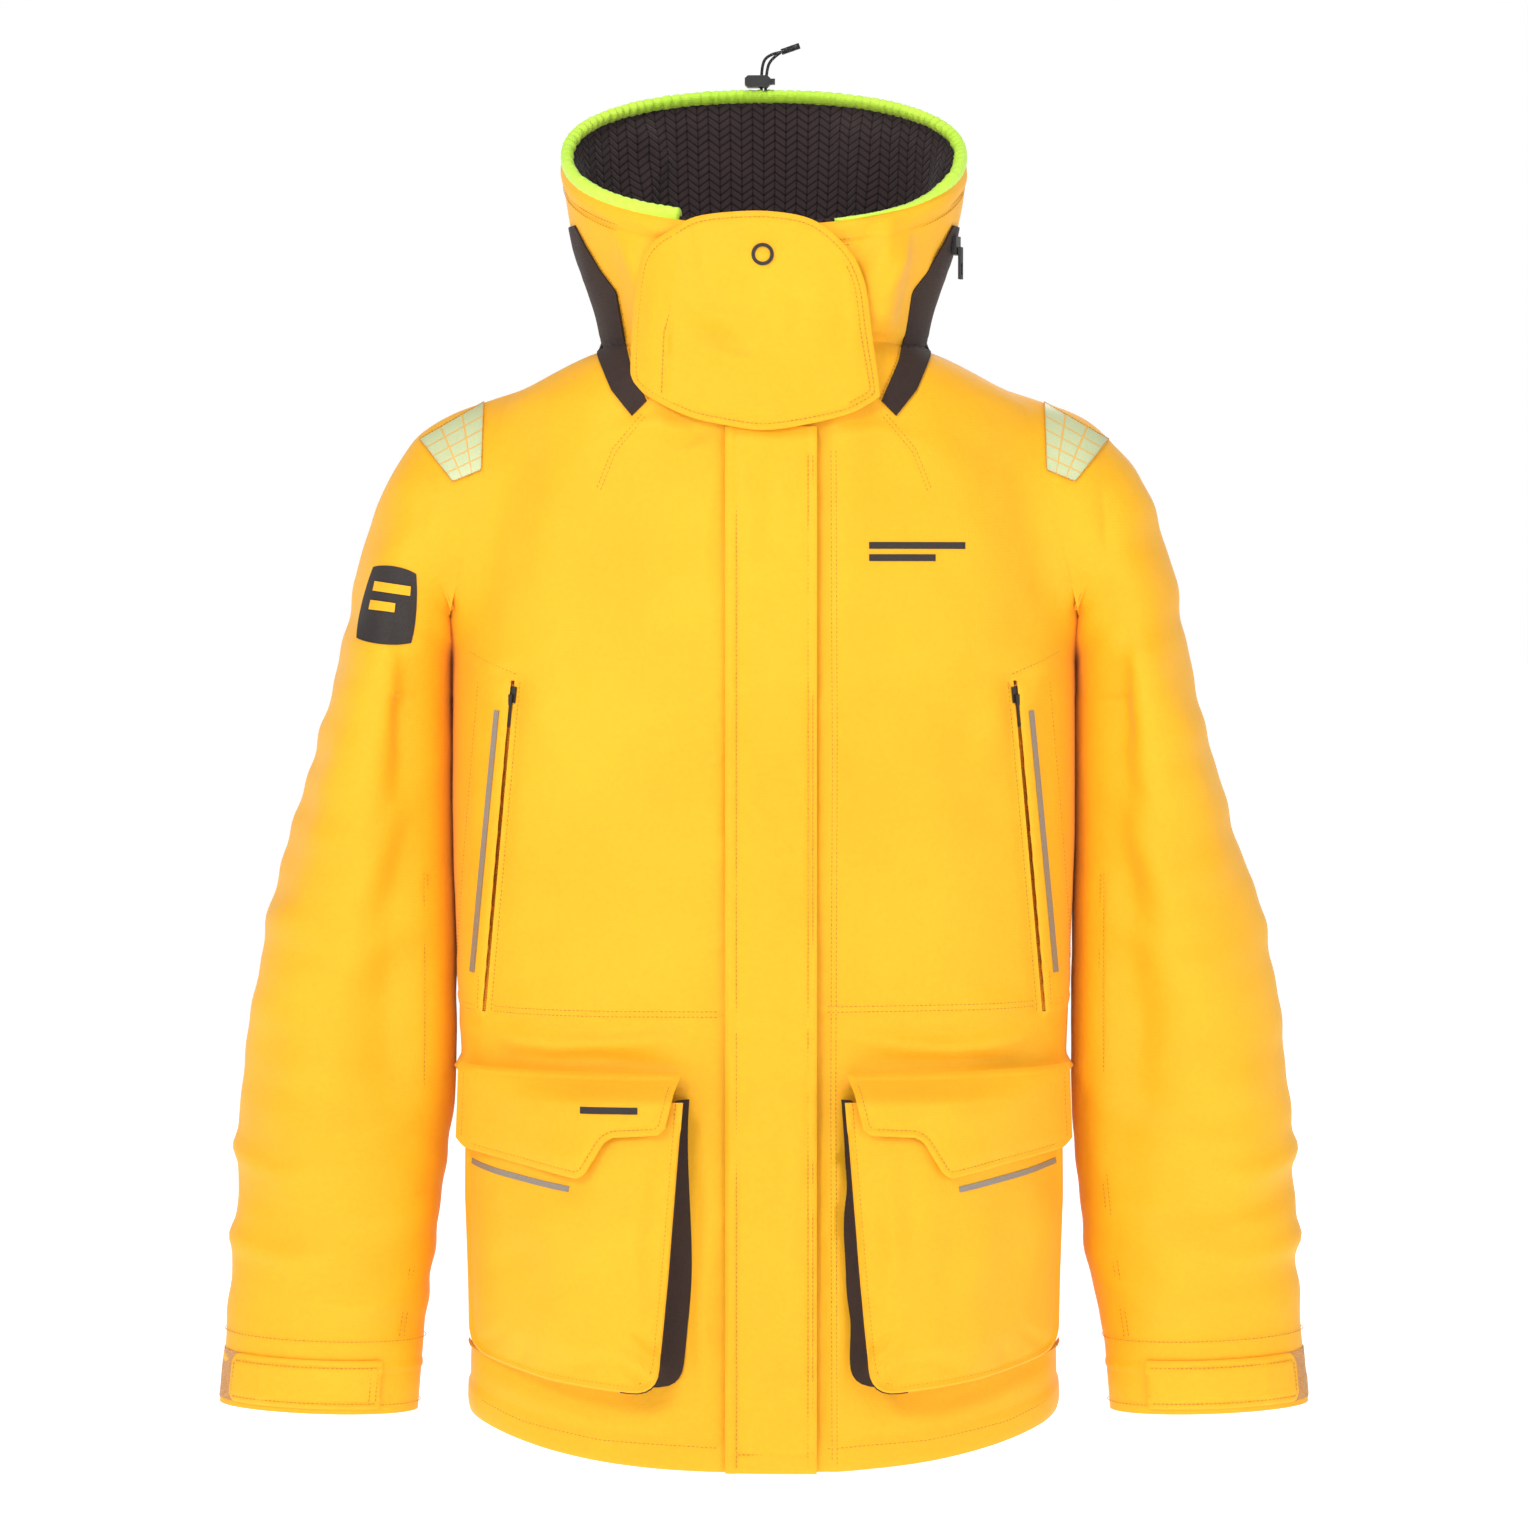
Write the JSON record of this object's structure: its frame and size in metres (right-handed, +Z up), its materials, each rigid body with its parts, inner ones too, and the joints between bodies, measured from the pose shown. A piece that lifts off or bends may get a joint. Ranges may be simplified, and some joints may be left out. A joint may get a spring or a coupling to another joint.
{
  "type": "foul weather jacket",
  "caption": "Yellow offshore sailing jacket with dark fleece collar, neon hood rim, chin guard, storm flap, slanted chest pockets, cargo pockets and cuff tabs",
  "frame": {"origin": "top of the gap in the hang loop at the inside of the nape, where a peg holds the jacket", "axes": "X to the wearer's left, -Y to the front, Z up"},
  "size_m": [0.8316, 0.3185, 1.0728],
  "materials": {
    "shell_fabric": "matt coated weave, warm yellow",
    "fleece": "brushed fleece with a raised rib, brown black",
    "dark_stretch": "matt stretch weave, dark brown",
    "neon_elastic": "gathered elastic binding, neon yellow green",
    "hook_loop_tan": "loop pile, tan",
    "hook_loop": "hook and loop pile, charcoal",
    "reflective_grey": "retro-reflective tape, grey",
    "reflective_pale": "retro-reflective transfer, pale",
    "zip_tape": "woven tape, brown grey",
    "zip_plastic": "moulded, near black",
    "pull_plastic": "soft touch pull",
    "cord": "braided elastic with light flecks",
    "webbing": "woven tape",
    "lock_plastic": "moulded acetal, near black",
    "spring_steel": "drawn wire"
  },
  "bodies": {
    "torso": {"back_panel": "shell_fabric", "back_yoke": "shell_fabric", "cargo_pocket_front_left": "shell_fabric", "cargo_pocket_front_right": "shell_fabric", "cargo_pocket_gussets": "dark_stretch", "cargo_reflective_strips": "reflective_grey", "chest_pocket_bags": "fleece", "chest_reflective_strips": "reflective_grey", "chest_zip_tapes": "zip_tape", "collar_fleece_lining": "fleece", "collar_gussets": "dark_stretch", "collar_shell": "shell_fabric", "cord_lock_body": "lock_plastic", "cord_lock_spring": "spring_steel", "flap_loop_strip": "hook_loop", "front_panel_left": "shell_fabric", "front_panel_right": "shell_fabric", "front_skirt_left": "shell_fabric", "front_skirt_right": "shell_fabric", "hang_loop": "webbing", "hood_cord_end": "lock_plastic", "hood_cord_left": "cord", "hood_cord_right": "cord", "hood_rim_elastic": "neon_elastic", "hood_stow_cover": "shell_fabric", "hood_zip_slider": "zip_plastic", "hood_zip_tape": "zip_tape", "inner_storm_guard": "shell_fabric", "main_zip_tapes": "zip_tape", "main_zip_teeth": "zip_plastic", "packed_hood": "neon_elastic", "shoulder_reflective_patches": "reflective_pale", "sleeve_cap_left": "shell_fabric", "sleeve_cap_right": "shell_fabric"},
    "upper_arm_right": {"upper_sleeve_right": "shell_fabric", "sleeve_badge": "reflective_pale"},
    "upper_arm_left": {"upper_sleeve_left": "shell_fabric"},
    "forearm_right": {"lower_sleeve_right": "shell_fabric", "inner_cuff_right": "dark_stretch", "cuff_loop_patch_right": "hook_loop_tan"},
    "cuff_tab_right_body": {"cuff_tab_right": "shell_fabric"},
    "cargo_flap_right_body": {"cargo_flap_right": "shell_fabric"},
    "chest_slider_right": {"chest_zip_slider_right": "zip_plastic"},
    "chest_pull_right": {"chest_zip_pull_right": "pull_plastic"},
    "forearm_left": {"lower_sleeve_left": "shell_fabric", "inner_cuff_left": "dark_stretch", "cuff_loop_patch_left": "hook_loop_tan"},
    "cuff_tab_left_body": {"cuff_tab_left": "shell_fabric"},
    "cargo_flap_left_body": {"cargo_flap_left": "shell_fabric"},
    "chest_slider_left": {"chest_zip_slider_left": "zip_plastic"},
    "chest_pull_left": {"chest_zip_pull_left": "pull_plastic"},
    "storm_flap_body": {"storm_flap": "shell_fabric", "flap_hook_strip": "hook_loop"},
    "face_guard_body": {"face_guard": "shell_fabric"},
    "upper_slider": {"main_zip_upper_slider": "zip_plastic", "main_zip_upper_pull": "pull_plastic"},
    "lower_slider": {"main_zip_lower_slider": "zip_plastic", "main_zip_lower_pull": "pull_plastic"},
    "hood_pull": {"hood_zip_pull": "pull_plastic"},
    "lock_button": {"cord_lock_button": "lock_plastic"}
  },
  "joints": [
    {"name": "shoulder_lift_right", "type": "hinge", "parent": "torso", "child": "upper_arm_right", "pos_m": [-0.19, -0.078, -0.118], "axis": [0, 1, 0], "range_deg": [0, 75]},
    {"name": "elbow_bend_right", "type": "hinge", "parent": "upper_arm_right", "child": "forearm_right", "pos_m": [-0.319, -0.165, -0.43], "axis": [-1, 0, 0], "range_deg": [0, 90], "stiffness_Nm_per_rad": 0.6, "springref_deg": -20.05},
    {"name": "cuff_tab_peel_right", "type": "hinge", "parent": "forearm_right", "child": "cuff_tab_right_body", "pos_m": [-0.29113, -0.13494, -0.80082], "axis": [0.085, -0.0737, 0.9937], "range_deg": [0, 100]},
    {"name": "cargo_flap_lift_right", "type": "hinge", "parent": "torso", "child": "cargo_flap_right_body", "pos_m": [-0.15, -0.23562, -0.538], "axis": [-1, 0, 0], "range_deg": [0, 150]},
    {"name": "chest_zip_run_right", "type": "slide", "parent": "torso", "child": "chest_slider_right", "axis": [0.0922, -0.0614, 0.9938], "range_m": [-0.225, 0]},
    {"name": "chest_pull_swing_right", "type": "hinge", "parent": "chest_slider_right", "child": "chest_pull_right", "pos_m": [-0.18832, -0.17889, -0.25994], "axis": [-0.7668, 0.6324, 0.1102], "range_deg": [0, 120]},
    {"name": "shoulder_lift_left", "type": "hinge", "parent": "torso", "child": "upper_arm_left", "pos_m": [0.19, -0.078, -0.118], "axis": [0, -1, 0], "range_deg": [0, 75]},
    {"name": "elbow_bend_left", "type": "hinge", "parent": "upper_arm_left", "child": "forearm_left", "pos_m": [0.319, -0.165, -0.43], "axis": [-1, 0, 0], "range_deg": [0, 90], "stiffness_Nm_per_rad": 0.6, "springref_deg": -20.05},
    {"name": "cuff_tab_peel_left", "type": "hinge", "parent": "forearm_left", "child": "cuff_tab_left_body", "pos_m": [0.29113, -0.13494, -0.80082], "axis": [0.085, 0.0737, -0.9937], "range_deg": [0, 100]},
    {"name": "cargo_flap_lift_left", "type": "hinge", "parent": "torso", "child": "cargo_flap_left_body", "pos_m": [0.15, -0.23562, -0.538], "axis": [-1, 0, 0], "range_deg": [0, 150]},
    {"name": "chest_zip_run_left", "type": "slide", "parent": "torso", "child": "chest_slider_left", "axis": [-0.0922, -0.0614, 0.9938], "range_m": [-0.225, 0]},
    {"name": "chest_pull_swing_left", "type": "hinge", "parent": "chest_slider_left", "child": "chest_pull_left", "pos_m": [0.18832, -0.17889, -0.25994], "axis": [-0.7668, -0.6324, -0.1102], "range_deg": [0, 120]},
    {"name": "storm_flap_open", "type": "hinge", "parent": "torso", "child": "storm_flap_body", "pos_m": [0.0387, -0.2365, -0.83], "axis": [0, 0.026, 0.9997], "range_deg": [0, 110]},
    {"name": "face_guard_open", "type": "hinge", "parent": "torso", "child": "face_guard_body", "pos_m": [0.085, -0.21191, -0.042], "axis": [0, 0.0758, 0.9971], "range_deg": [0, 140]},
    {"name": "main_zip_upper_run", "type": "slide", "parent": "torso", "child": "upper_slider", "axis": [0, 0.026, 0.9997], "range_m": [-0.82, 0]},
    {"name": "main_zip_lower_run", "type": "slide", "parent": "torso", "child": "lower_slider", "axis": [0, 0.026, 0.9997], "range_m": [0, 0.6]},
    {"name": "hood_pull_swing", "type": "hinge", "parent": "torso", "child": "hood_pull", "pos_m": [0.1473, -0.12705, 0.074], "axis": [-0.3697, -0.9292, 0], "range_deg": [0, 120]},
    {"name": "cord_lock_press", "type": "slide", "parent": "torso", "child": "lock_button", "axis": [1, 0, 0], "range_m": [-0.0025, 0], "stiffness_N_per_m": 400, "springref_m": 0.003, "deforming": ["cord_lock_spring"]}
  ]
}
